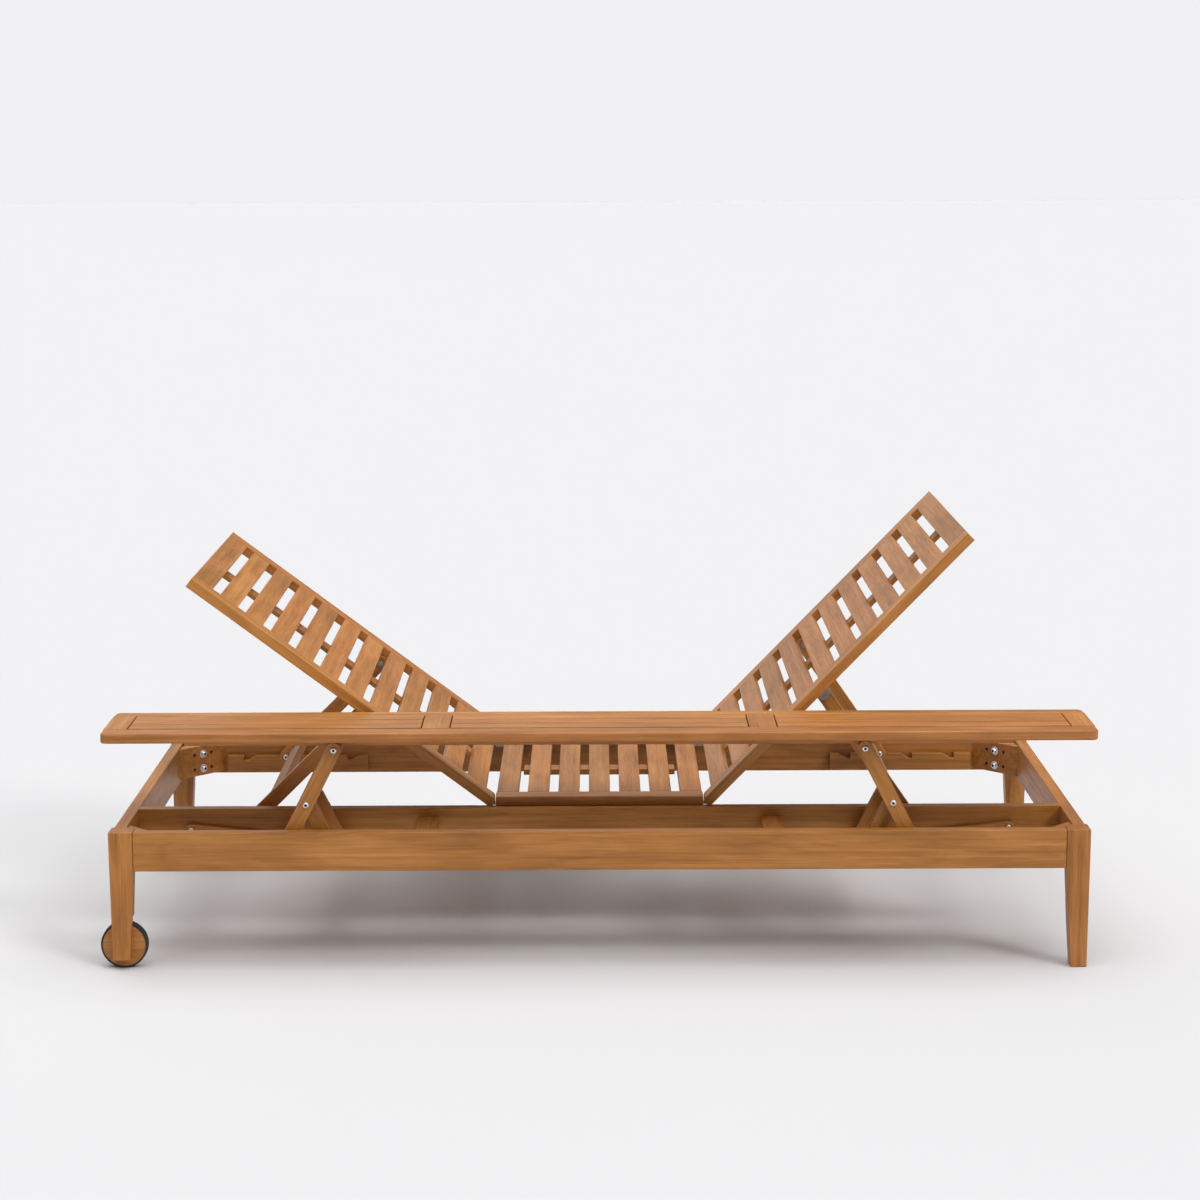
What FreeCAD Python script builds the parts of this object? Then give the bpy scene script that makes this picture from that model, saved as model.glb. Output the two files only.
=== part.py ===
import FreeCAD, Part
import os
import re
import Sketcher

# Reclining sun lounger: a slatted frame with a fixed seat in the middle, a backrest that folds up
# at each end on a pair of ratchet props, and a long side shelf that rises on folding legs.
# Frame of the part: +X to the right along the length, +Y to the back, +Z up, origin on the
# ground under the middle of the frame. Millimetres and degrees throughout.

doc = FreeCAD.newDocument("SunLounger")
sheet = doc.addObject("Spreadsheet::Sheet", "Sizes")

# ---------------------------------------------------------------- driving dimensions
SIZES = [
    ("frame_half", "989", "half length over the legs"),
    ("depth_half", "450", "half depth over the rails"),
    ("rail_top", "287", "height of the rails' top edges"),
    ("rail_height", "80", "height of every rail"),
    ("rail_thick", "25", "thickness of every rail"),
    ("leg_top", "48", "leg section at the top"),
    ("leg_foot", "33", "leg width at the foot"),
    ("leg_outset", "2.5", "outer edge of the foot, in from the top"),
    ("leg_chamfer", "16", "chamfer on the leg's inner corner"),
    ("end_inset", "5", "end rail face, in from the legs' ends"),
    ("channel", "175", "clear width between front rail and inner rail"),
    ("wheel_x", "967", "wheel centre from the middle"),
    ("wheel_radius", "47.5", "wheel over the tyre"),
    ("wheel_width", "24", "width of the wheel"),
    ("tyre_thick", "3.8", "thickness of the tyre"),
    ("cheek", "20", "leg left beside the wheel"),
    ("axle_radius", "6", "wheel axle radius"),
    ("panel_thick", "20", "thickness of stiles and shelf"),
    ("panel_gap", "0.5", "air between the rails and a panel lying flat"),
    ("panel_front", "-233.5", "front edge of seat and backrests"),
    ("panel_back", "443.5", "back edge of seat and backrests"),
    ("stile_width", "47.5", "width of the side stiles"),
    ("slat_thick", "15", "thickness of the slats"),
    ("slat_width", "44.7", "width of the slats"),
    ("slat_pitch", "64.3", "slat to slat"),
    ("seat_half", "216.8", "half length of the seat"),
    ("hinge_x", "229", "backrest hinge from the middle"),
    ("back_length", "771", "hinge to top end of a backrest"),
    ("first_slat", "16.5", "hinge to first slat"),
    ("end_board", "47", "width of the top board"),
    ("left_angle", "37", "left backrest above flat"),
    ("right_angle", "45.9", "right backrest above flat"),
    ("fold_ratio", "2.205", "prop turn per turn of the backrest"),
    ("prop_arm", "322", "hinge to prop pivot along the backrest"),
    ("prop_drop", "22", "prop pivot below the middle of the panel"),
    ("prop_length", "311", "prop pivot to ratchet pins"),
    ("prop_half", "15", "half width of a prop bar"),
    ("bar_thick", "18", "thickness of prop and shelf bars"),
    ("rod_radius", "4", "ratchet pin radius"),
    ("bolt_radius", "4", "pivot bolt radius"),
    ("play", "0.05", "radial clearance of a pivot"),
    ("head_radius", "6.5", "pivot bolt head radius"),
    ("head_height", "3.5", "pivot bolt head height"),
    ("tooth_top", "250.6", "height of the ratchet teeth"),
    ("tooth_depth", "11", "depth of a ratchet notch"),
    ("shelf_half", "1000", "half length of the shelf"),
    ("shelf_front", "-447", "front edge of the shelf"),
    ("shelf_width", "210.5", "width of the shelf"),
    ("shelf_stile", "48.5", "width of the shelf's front stile"),
    ("shelf_slat", "38.7", "width of the shelf slats"),
    ("groove", "3.2", "groove between shelf boards"),
    ("shelf_end", "46.5", "width of the shelf's end boards"),
    ("cross_at", "303", "middle to the shelf's cross boards"),
    ("cross_width", "55", "width of the shelf's cross boards"),
    ("batten_half", "838", "half length of the battens"),
    ("batten_high", "16", "height of the battens"),
    ("link", "127", "pivot spacing on the folding legs"),
    ("lift_angle", "62.9", "folding leg above level, shelf raised"),
    ("lift_x", "535.5", "lower leg pivot from the middle"),
    ("lift_low", "65.6", "lower leg pivot below the rails' top"),
    ("lug_drop", "22.1", "upper leg pivot below the shelf"),
    ("bar_half", "15", "half width of a folding leg bar"),
    ("dowel_radius", "6", "foot dowel radius"),
    ("stay_x", "850", "stay pivot from the middle"),
    ("stay_low", "43.6", "stay pivot below the rails' top"),
    ("stay_reach", "213", "stay pivot to its inner end"),
    ("stay_half", "13", "half width of a stay"),
    # derived sizes
    ("rail_low", "=rail_top - rail_height", "height of the rails' lower edges"),
    ("hinge_z", "=rail_top + panel_gap + panel_thick / 2", "height of the backrest hinges"),
    ("inner_front", "=-depth_half + rail_thick + channel", "front face of the inner rail"),
    ("lift_z", "=rail_top - lift_low", "height of the lower leg pivots"),
    ("link_run", "=link * cos(lift_angle)", "level distance covered by half a leg"),
    ("link_rise", "=link * sin(lift_angle)", "rise of half a leg"),
    ("shelf_low", "=lift_z + 2 * link_rise + lug_drop", "underside of the raised shelf"),
    ("stay_z", "=rail_top - stay_low", "height of the stay pivots"),
    ("stay_angle", "=atan((stay_z - lift_z) / (stay_x - lift_x - 2 * link_run))", "slope of a stay"),
    ("left_prop_x", "=-hinge_x - prop_arm * cos(left_angle) - prop_drop * sin(left_angle)",
     "left prop pivot"),
    ("left_prop_z", "=hinge_z + prop_arm * sin(left_angle) - prop_drop * cos(left_angle)",
     "left prop pivot height"),
    ("left_prop_turn", "=left_angle * (1 - fold_ratio)", "left prop turn"),
    ("right_prop_x", "=hinge_x + prop_arm * cos(right_angle) + prop_drop * sin(right_angle)",
     "right prop pivot"),
    ("right_prop_z", "=hinge_z + prop_arm * sin(right_angle) - prop_drop * cos(right_angle)",
     "right prop pivot height"),
    ("right_prop_turn", "=-right_angle * (1 - fold_ratio)", "right prop turn"),
]

for row, (alias, value, note) in enumerate(SIZES, start=1):
    sheet.set("A%d" % row, note)
    sheet.set("B%d" % row, value)
    sheet.setAlias("B%d" % row, alias)
doc.recompute()

NAMES = sorted((alias for alias, value, note in SIZES), key=len, reverse=True)
WORDS = re.compile(r"\b(" + "|".join(NAMES) + r")\b")


def linked(expression):
    """The expression with every dimension's name pointing at the spreadsheet."""
    return WORDS.sub(r"Sizes.\1", str(expression))


def drive(item, prop, expression):
    item.setExpression(prop, linked(expression))


def put(item, x="0", y="0", z="0"):
    drive(item, "Placement.Base.x", x)
    drive(item, "Placement.Base.y", y)
    drive(item, "Placement.Base.z", z)
    return item


def sided(side, low, high):
    """A span along X, mirrored for the left side."""
    if side > 0:
        return (str(low), str(high))
    return ("-(%s)" % high, "-(%s)" % low)


def box(name, x, y, z):
    item = doc.addObject("Part::Box", name)
    drive(item, "Length", "(%s) - (%s)" % (x[1], x[0]))
    drive(item, "Width", "(%s) - (%s)" % (y[1], y[0]))
    drive(item, "Height", "(%s) - (%s)" % (z[1], z[0]))
    return put(item, x[0], y[0], z[0])


def rod(name, x, y, z, radius):
    """A round bar lying front to back, y being its span."""
    item = doc.addObject("Part::Cylinder", name)
    drive(item, "Radius", radius)
    drive(item, "Height", "(%s) - (%s)" % (y[1], y[0]))
    item.Placement.Rotation = FreeCAD.Rotation(FreeCAD.Vector(1, 0, 0), -90)
    return put(item, x, y[0], z)


def cut(name, base, tools):
    tool = tools[0]
    if len(tools) > 1:
        tool = doc.addObject("Part::MultiFuse", name + "_tools")
        tool.Shapes = tools
    item = doc.addObject("Part::Cut", name)
    item.Base = base
    item.Tool = tool
    return item


def fuse(name, shapes):
    item = doc.addObject("Part::MultiFuse", name)
    item.Shapes = shapes
    return item


def common(name, shapes):
    item = doc.addObject("Part::MultiCommon", name)
    item.Shapes = shapes
    return item


def profile(name, plane, points, span):
    """A pad of a closed outline. plane is XY, XZ or YZ; span runs along the third axis."""
    body = doc.addObject("PartDesign::Body", name)
    sketch = body.newObject("Sketcher::SketchObject", name + "_outline")
    origin = {"XY": 3, "XZ": 4, "YZ": 5}[plane]
    sketch.AttachmentSupport = (body.Origin.OriginFeatures[origin], [""])
    sketch.MapMode = "FlatFace"
    count = len(points)
    rough = [FreeCAD.Vector(guess(u), guess(v), 0) for u, v in points]
    for index in range(count):
        sketch.addGeometry(Part.LineSegment(rough[index], rough[(index + 1) % count]), False)
    for index in range(count):
        following = (index + 1) % count
        sketch.addConstraint(Sketcher.Constraint("Coincident", index, 2, following, 1))
    for index, (u, v) in enumerate(points):
        for kind, text, number in (("DistanceX", u, rough[index].x), ("DistanceY", v, rough[index].y)):
            at = sketch.addConstraint(Sketcher.Constraint(kind, -1, 1, index, 1, number))
            drive(sketch, "Constraints[%d]" % at, text)
    pad = body.newObject("PartDesign::Pad", name + "_pad")
    pad.Profile = sketch
    drive(pad, "Length", "(%s) - (%s)" % (span[1], span[0]))
    if plane == "XZ":
        pad.Reversed = True
        drive(sketch, "AttachmentOffset.Base.z", "-(%s)" % span[0])
    else:
        drive(sketch, "AttachmentOffset.Base.z", span[0])
    return body


def guess(expression):
    """The present value of an expression, used as the sketch's starting point."""
    sheet.set("E1", "=" + str(expression))
    doc.recompute([sheet])
    value = sheet.get("E1")
    return float(getattr(value, "Value", value))


def bar(name, length, half, y, holes, side=1):
    """A flat bar with round ends, pivot at its local origin, holes as (distance, radius)."""
    parts = [box(name + "_flat", sided(side, "0", length), y, ("-(%s)" % half, half)),
             rod(name + "_head", "0", y, "0", half),
             rod(name + "_foot", "%d * (%s)" % (side, length), y, "0", half)]
    body = fuse(name + "_blank", parts)
    drills = []
    for index, (distance, radius) in enumerate(holes):
        wide = ("(%s) - 1" % y[0], "(%s) + 1" % y[1])
        drills.append(rod("%s_drill%d" % (name, index), "%d * (%s)" % (side, distance), wide, "0", radius))
    if not drills:
        return body
    return cut(name, body, drills)


def bolt(name, x, z, shank, head, radius="bolt_radius"):
    """A pivot bolt lying front to back: a shank span and a head span."""
    pieces = fuse(name + "_solid", [rod(name + "_shank", x, shank, z, radius),
                                    rod(name + "_cap", x, head, z, "head_radius")])
    return pieces


nodes = []


def node(name, shapes, x=None, z=None, turn=None):
    """Group the solids of one piece, or of identical pieces, and note it for export."""
    item = doc.addObject("Part::Compound", name)
    item.Label = name
    item.Links = shapes
    if x is not None:
        item.Placement.Rotation = FreeCAD.Rotation(FreeCAD.Vector(0, 1, 0), 1)
        drive(item, "Placement.Base.x", x)
        drive(item, "Placement.Base.z", z)
        drive(item, "Placement.Rotation.Angle", turn)
    nodes.append(item)
    return item


RAIL_Z = ("rail_low", "rail_top")
FRONT_RAIL_Y = ("-depth_half", "-depth_half + rail_thick")
INNER_RAIL_Y = ("inner_front", "inner_front + rail_thick")
BACK_RAIL_Y = ("depth_half - rail_thick", "depth_half")
LEG_IN = "(frame_half - leg_top)"

# ---------------------------------------------------------------- frame rails
node("front_rail", [box("front_board", ("-" + LEG_IN, LEG_IN), FRONT_RAIL_Y, RAIL_Z)])
back_board = box("back_board", ("-" + LEG_IN, LEG_IN), BACK_RAIL_Y, RAIL_Z)
node("back_rail", [back_board])
END_X = ("frame_half - end_inset - rail_thick", "frame_half - end_inset")
END_Y = ("-depth_half + leg_top", "depth_half - leg_top")
node("end_rails", [box("end_board_%s" % tag, sided(side, END_X[0], END_X[1]), END_Y, RAIL_Z)
                   for tag, side in (("left", -1), ("right", 1))])
inner_board = box("inner_board", ("-(%s)" % END_X[0], END_X[0]), INNER_RAIL_Y, RAIL_Z)
sockets = [rod("stay_socket_%d" % side, "%d * stay_x" % side, ("inner_front - 1", "inner_front + 12"),
               "stay_z", "bolt_radius") for side in (-1, 1)]
node("inner_rail", [cut("inner_drilled", inner_board, sockets)])


# ---------------------------------------------------------------- legs
def leg(name, side, back, foot, wheeled):
    """A leg tapering below the rails on its two inner sides, its inner corner chamfered."""
    out = "%d * frame_half" % side
    inn = "%d * (frame_half - leg_top)" % side
    low_out = "%d * (frame_half - leg_outset)" % side
    low_in = "%d * (frame_half - leg_outset - leg_foot)" % side
    face = "%d * depth_half" % back
    rear = "%d * (depth_half - leg_top)" % back
    low_rear = "%d * (depth_half - leg_foot)" % back
    span_x = sided(side, "frame_half - leg_top", "frame_half")
    span_y = sided(back, "depth_half - leg_top", "depth_half")
    front_view = profile(name + "_front", "XZ", [(out, "rail_top"), (inn, "rail_top"), (inn, "rail_low"),
                                                 (low_in, "0"), (low_out, "0")], span_y)
    side_view = profile(name + "_side", "YZ", [(face, "rail_top"), (rear, "rail_top"), (rear, "rail_low"),
                                               (low_rear, "0"), (face, "0")], span_x)
    plan = profile(name + "_plan", "XY",
                   [(out, face), (out, rear), ("%d * (frame_half - leg_top + leg_chamfer)" % side, rear),
                    (inn, "%d * (depth_half - leg_top + leg_chamfer)" % back), (inn, face)],
                   (foot, "rail_top"))
    shape = common(name + "_shape", [front_view, side_view, plan])
    if not wheeled:
        return shape
    room = box(name + "_wheel_room", sided(side, "frame_half - 60", "frame_half + 5"),
               sided(back, "depth_half - leg_top - 5", "depth_half - cheek"), ("-1", "rail_low - 99"))
    bore = rod(name + "_axle_bore", "%d * wheel_x" % side, sided(back, "depth_half - 60", "depth_half - 6"),
               "wheel_radius", "axle_radius")
    return cut(name + "_cut", shape, [room, bore])


node("wheel_legs", [leg("leg_left_front", -1, -1, "22", True), leg("leg_left_back", -1, 1, "22", True)])
node("plain_legs", [leg("leg_right_front", 1, -1, "0", False), leg("leg_right_back", 1, 1, "0", False)])

# ---------------------------------------------------------------- wheels
node("wheel_axles", [fuse("axle_%s" % tag, [
    rod("axle_bar_%s" % tag, "-wheel_x", span, "wheel_radius", "axle_radius"),
    rod("axle_cap_%s" % tag, "-wheel_x", cap, "wheel_radius", "axle_radius + 3.5")])
    for tag, span, cap in (
        ("front", ("-depth_half + 6", "-depth_half + cheek + wheel_width + 3.6"),
         ("-depth_half + cheek + wheel_width + 3.6", "-depth_half + cheek + wheel_width + 6.6")),
        ("back", ("depth_half - cheek - wheel_width - 3.6", "depth_half - 6"),
         ("depth_half - cheek - wheel_width - 6.6", "depth_half - cheek - wheel_width - 3.6")))])
for tag, y in (("front", ("-depth_half + cheek + 1.5", "-depth_half + cheek + 1.5 + wheel_width")),
               ("back", ("depth_half - cheek - 1.5 - wheel_width", "depth_half - cheek - 1.5"))):
    disc = rod("wheel_blank_" + tag, "-wheel_x", y, "wheel_radius", "wheel_radius - tyre_thick")
    bore = rod("wheel_bore_" + tag, "-wheel_x", ("(%s) - 1" % y[0], "(%s) + 1" % y[1]), "wheel_radius",
               "axle_radius + play")
    node("wheel_disc_" + tag, [cut("wheel_wood_" + tag, disc, [bore])])
    band = rod("tyre_blank_" + tag, "-wheel_x", ("(%s) + 1" % y[0], "(%s) - 1" % y[1]), "wheel_radius",
               "wheel_radius")
    seat = rod("tyre_seat_" + tag, "-wheel_x", y, "wheel_radius", "wheel_radius - tyre_thick")
    node("tyre_" + tag, [cut("tyre_band_" + tag, band, [seat])])


# ---------------------------------------------------------------- corner plates
def corner_plate(name, side, back, reach, thick):
    """An upright plate set at 45 degrees across a corner of the rails."""
    x = "(frame_half - end_inset - rail_thick)"
    y = "(depth_half - rail_thick)"
    inner = "(%s)" % reach
    outer = "(%s - %s * sqrt(2))" % (reach, thick)
    points = [("%d * %s" % (side, x), "%d * (%s - %s)" % (back, y, inner)),
              ("%d * %s" % (side, x), "%d * (%s - %s)" % (back, y, outer)),
              ("%d * (%s - %s)" % (side, x, outer), "%d * %s" % (back, y)),
              ("%d * (%s - %s)" % (side, x, inner), "%d * %s" % (back, y))]
    return profile(name, "XY", points, ("rail_low + 6", "rail_top - 5"))


CORNERS = [("left_front", -1, -1), ("left_back", -1, 1), ("right_front", 1, -1), ("right_back", 1, 1)]


def set_across(item, side, back, setback, height, along="0"):
    """Turn a Z cylinder to point out of a corner and set it on the plate's inner face."""
    out = FreeCAD.Vector(side, back, 0)
    item.Placement.Rotation = FreeCAD.Rotation(FreeCAD.Vector(0, 0, 1), out)
    x = "%d * (frame_half - end_inset - rail_thick - (%s) / 2 + (%s) / sqrt(2))" % (side, setback, along)
    y = "%d * (depth_half - rail_thick - (%s) / 2 - (%s) / sqrt(2))" % (back, setback, along)
    return put(item, x, y, height)


def across(name, side, back, setback, height, length, radius, along="0"):
    item = doc.addObject("Part::Cylinder", name)
    drive(item, "Radius", radius)
    drive(item, "Height", length)
    return set_across(item, side, back, setback, height, along)


PLATES = {-1: ("61", "18"), 1: ("93", "25")}
BOLT_LEVELS = ("rail_top - 24", "rail_top - 58")
SCREW_PLACES = [("24", level) for level in BOLT_LEVELS] + [("-24", level) for level in BOLT_LEVELS]
plates = []
bolts = []
screws = []
for tag, side, back in CORNERS:
    reach, thick = PLATES[back]
    drills = []
    for index, level in enumerate(BOLT_LEVELS):
        name = "%s_%d" % (tag, index)
        drills.append(across("bolt_hole_" + name, side, back, reach, level, thick, "4"))
        shank = across("bolt_shank_" + name, side, back, reach, level, thick, "4")
        washer = across("bolt_washer_" + name, side, back, "%s + 2 * sqrt(2)" % reach, level, "2", "9.5")
        head = across("bolt_head_" + name, side, back, "%s + 8 * sqrt(2)" % reach, level, "6", "6.5")
        bolts.append(fuse("corner_bolt_" + name, [shank, washer, head]))
    if back > 0:
        for index, (along, level) in enumerate(SCREW_PLACES):
            name = "%s_%d" % (tag, index)
            sunk = "%s - 1.5 * sqrt(2)" % reach
            drills.append(across("screw_hole_" + name, side, back, reach, level, "13.5", "4", along))
            screws.append(across("screw_body_" + name, side, back, sunk, level, "12", "4", along))
    plates.append(cut("plate_drilled_" + tag, corner_plate("plate_" + tag, side, back, reach, thick), drills))
node("corner_plates", plates)
node("corner_bolts", bolts)
node("corner_screws", screws)

# ---------------------------------------------------------------- ties and runners in the channel
node("channel_ties", [box("tie_%d" % side, sided(side, "335", "377"), ("-depth_half + rail_thick", "inner_front"),
                          ("rail_top - 42", "rail_top - 18")) for side in (-1, 1)])
LEDGE_Z = ("rail_low", "lift_z - dowel_radius - 0.3")
node("runner_ledges", [
    box("ledge_%s_%d" % (tag, side), sided(side, start, "815"), y, LEDGE_Z)
    for side in (-1, 1)
    for tag, start, y in (("front", "570", ("-depth_half + rail_thick", "-depth_half + rail_thick + 10")),
                          ("back", "656", ("inner_front - 10", "inner_front")))])
node("lift_rods", [rod("lift_rod_%d" % side, "%d * lift_x" % side, ("-depth_half + rail_thick", "inner_front"),
                       "lift_z", "bolt_radius + 1") for side in (-1, 1)])
STAY_Y = ("inner_front - 9.5", "inner_front - 0.5")
node("stay_bolts", [bolt("stay_bolt_%d" % side, "%d * stay_x" % side, "stay_z",
                         ("inner_front - 10", "inner_front + 12"), ("inner_front - 13.5", "inner_front - 10"))
                    for side in (-1, 1)])

# ---------------------------------------------------------------- ratchet racks
NOTCHES = (577, 646, 720, 817)


def rack(name, side, y):
    """A strip with saw-tooth notches: upright flank outside, slope towards the middle."""
    points = [("%d * 535" % side, "rail_low + 5"), ("%d * 535" % side, "tooth_top")]
    for place in NOTCHES:
        points += [("%d * %d" % (side, place - 22), "tooth_top"),
                   ("%d * %d" % (side, place - 4), "tooth_top - tooth_depth"),
                   ("%d * %d" % (side, place + 5), "tooth_top - tooth_depth"),
                   ("%d * %d" % (side, place + 5), "tooth_top")]
    points += [("%d * 860" % side, "tooth_top"), ("%d * 860" % side, "rail_low + 5")]
    return profile(name, "XZ", points, y)


RACK_NEAR_Y = ("inner_front + rail_thick", "inner_front + rail_thick + 18")
RACK_FAR_Y = ("depth_half - rail_thick - 18", "depth_half - rail_thick")
for tag, side in (("left", -1), ("right", 1)):
    node(tag + "_racks", [rack(tag + "_rack_near", side, RACK_NEAR_Y), rack(tag + "_rack_far", side, RACK_FAR_Y)])

# ---------------------------------------------------------------- seat
NEAR_STILE_Y = ("panel_front", "panel_front + stile_width")
FAR_STILE_Y = ("panel_back - stile_width", "panel_back")
SLAT_Y = ("panel_front + stile_width", "panel_back - stile_width")
STRINGER_Y = ("(panel_front + panel_back) / 2 - 22", "(panel_front + panel_back) / 2 + 22")
SEAT_Z = ("rail_top", "rail_top + panel_thick")
node("seat_stiles", [box("seat_stile_near", ("-seat_half", "seat_half"), NEAR_STILE_Y, SEAT_Z),
                     box("seat_stile_far", ("-seat_half", "seat_half"), FAR_STILE_Y, SEAT_Z)])
SEAT_SLAT_Z = ("rail_top + panel_thick - slat_thick", "rail_top + panel_thick")
node("seat_slats", [box("seat_slat_%d" % index, ("%d * slat_pitch - slat_width / 2" % index,
                                                 "%d * slat_pitch + slat_width / 2" % index), SLAT_Y, SEAT_SLAT_Z)
                    for index in range(-3, 4)])
node("seat_stringer", [box("seat_spine", ("-166", "166"), STRINGER_Y, ("rail_top - 8", SEAT_SLAT_Z[0]))])
BEARER_Y = ("inner_front + rail_thick", "depth_half - rail_thick")
node("seat_bearers", [box("bearer_%d" % side, sided(side, "176", "213"), BEARER_Y, ("rail_top - 46", "rail_top - 9"))
                      for side in (-1, 1)])

# ---------------------------------------------------------------- backrest hinges
HINGE_PLATES = [("near", "panel_front + stile_width + 0.5", 1), ("far", "panel_back - stile_width - 0.5", -1)]
leaves = []
pins = []
for tag, side in (("left", -1), ("right", 1)):
    for end, edge, into in HINGE_PLATES:
        name = "%s_%s" % (tag, end)
        web_y = sided(1, edge, "%s + 3" % edge) if into > 0 else ("%s - 3" % edge, edge)
        foot_y = (web_y[0], "%s + 24" % web_y[0]) if into > 0 else ("%s - 24" % web_y[1], web_y[1])
        web = box("leaf_web_" + name, sided(side, "hinge_x - 9.5", "hinge_x + 9.5"), web_y,
                  ("rail_top - 9", "hinge_z"))
        eye = rod("leaf_eye_" + name, "%d * hinge_x" % side, web_y, "hinge_z", "9.5")
        foot = box("leaf_foot_" + name, sided(side, "hinge_x - 50", "hinge_x + 9"), foot_y,
                   ("rail_top - 9", "rail_top - 6.5"))
        hole = rod("leaf_hole_" + name, "%d * hinge_x" % side, ("%s - 1" % web_y[0], "%s + 1" % web_y[1]),
                   "hinge_z", "bolt_radius")
        leaves.append(cut("leaf_" + name, fuse("leaf_blank_" + name, [web, eye, foot]), [hole]))
        reach = ("%s - 24" % web_y[0], web_y[1]) if into > 0 else (web_y[0], "%s + 24" % web_y[1])
        head = (web_y[1], "%s + 3" % web_y[1]) if into > 0 else ("%s - 3" % web_y[0], web_y[0])
        pins.append(bolt("hinge_pin_" + name, "%d * hinge_x" % side, "hinge_z", reach, head))
node("hinge_leaves", leaves)
node("hinge_pins", pins)

# ---------------------------------------------------------------- backrests and their props
PANEL_Z = ("-panel_thick / 2", "panel_thick / 2")
SLAT_Z = ("panel_thick / 2 - slat_thick", "panel_thick / 2")
SLAT_COUNT = 11
BAR_NEAR_Y = ("panel_front + stile_width + 4", "panel_front + stile_width + 4 + bar_thick")
BAR_FAR_Y = ("panel_back - stile_width - 4 - bar_thick", "panel_back - stile_width - 4")


def back_stile(name, side, y, hole_y):
    """A side stile, its lower end rounded about the hinge, with a blind hole for the hinge pin."""
    plain = box(name + "_plain", sided(side, "0", "back_length"), y, PANEL_Z)
    round_end = rod(name + "_round", "0", y, "0", "panel_thick / 2")
    hole = rod(name + "_hole", "0", hole_y, "0", "bolt_radius + play")
    return cut(name, fuse(name + "_blank", [plain, round_end]), [hole])


def bracket(name, side, stile_edge, into):
    """A steel angle under a stile: a foot on the stile and an ear carrying the prop's pivot bolt."""
    ear_y = (stile_edge, "%s + 3" % stile_edge) if into > 0 else ("%s - 3" % stile_edge, stile_edge)
    foot_y = ("%s - 26" % stile_edge, ear_y[1]) if into > 0 else (ear_y[0], "%s + 26" % stile_edge)
    low = "-panel_thick / 2"
    foot = box(name + "_foot", sided(side, "prop_arm - 22", "prop_arm + 22"), foot_y, (low + " - 3", low))
    ear = box(name + "_ear", sided(side, "prop_arm - 14", "prop_arm + 14"), ear_y, ("-prop_drop", low))
    eye = rod(name + "_eye", "%d * prop_arm" % side, ear_y, "-prop_drop", "14")
    pin_y = (ear_y[0], "%s + 20" % ear_y[1]) if into > 0 else ("%s - 20" % ear_y[0], ear_y[1])
    pin = rod(name + "_pin", "%d * prop_arm" % side, pin_y, "-prop_drop", "bolt_radius")
    head_y = (pin_y[1], "%s + head_height" % pin_y[1]) if into > 0 else ("%s - head_height" % pin_y[0], pin_y[0])
    head = rod(name + "_head", "%d * prop_arm" % side, head_y, "-prop_drop", "head_radius")
    return fuse(name, [foot, ear, eye, pin, head])


for tag, side in (("left", -1), ("right", 1)):
    at = ("%d * hinge_x" % side, "hinge_z", "%d * %s_angle" % (-side, tag))
    name = tag + "_back"
    near_hole = ("%s - 25" % NEAR_STILE_Y[1], "%s + 1" % NEAR_STILE_Y[1])
    far_hole = ("%s - 1" % FAR_STILE_Y[0], "%s + 25" % FAR_STILE_Y[0])
    node(name + "_stiles", [back_stile(name + "_stile_near", side, NEAR_STILE_Y, near_hole),
                            back_stile(name + "_stile_far", side, FAR_STILE_Y, far_hole)], *at)
    slats = []
    for index in range(SLAT_COUNT):
        start = "first_slat + %d * slat_pitch" % index
        slats.append(box("%s_slat_%d" % (name, index), sided(side, start, start + " + slat_width"), SLAT_Y, SLAT_Z))
    node(name + "_slats", slats, *at)
    node(name + "_top_board", [box(name + "_top", sided(side, "back_length - end_board", "back_length"),
                                   SLAT_Y, SLAT_Z)], *at)
    node(name + "_stringer", [box(name + "_spine", sided(side, "first_slat + 4", "back_length - 46"), STRINGER_Y,
                                  (SLAT_Z[0] + " - 11", SLAT_Z[0]))], *at)
    node(name + "_brackets", [bracket(name + "_bracket_near", side, NEAR_STILE_Y[1], 1),
                              bracket(name + "_bracket_far", side, FAR_STILE_Y[0], -1)], *at)
    at = (tag + "_prop_x", tag + "_prop_z", "%d * %s_prop_turn" % (side * (1 if side > 0 else -1), tag))
    name = tag + "_prop"
    holes = [("0", "bolt_radius + play"), ("prop_length", "rod_radius")]
    node(name + "_bars", [bar(name + "_bar_near", "prop_length", "prop_half", BAR_NEAR_Y, holes, side),
                          bar(name + "_bar_far", "prop_length", "prop_half", BAR_FAR_Y, holes, side)], *at)
    node(name + "_pins", [
        bolt(name + "_pin_near", "%d * prop_length" % side, "0",
             ("inner_front + rail_thick + 2", BAR_NEAR_Y[1]),
             (BAR_NEAR_Y[1], BAR_NEAR_Y[1] + " + head_height"), "rod_radius"),
        bolt(name + "_pin_far", "%d * prop_length" % side, "0",
             (BAR_FAR_Y[0], "depth_half - rail_thick - 2"),
             (BAR_FAR_Y[0] + " - head_height", BAR_FAR_Y[0]), "rod_radius")], *at)
    node(name + "_tie", [box(name + "_tie_bar", sided(side, "prop_length - 62", "prop_length - 22"),
                             (BAR_NEAR_Y[1], BAR_FAR_Y[0]), ("-12", "4.5"))], *at)

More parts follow.
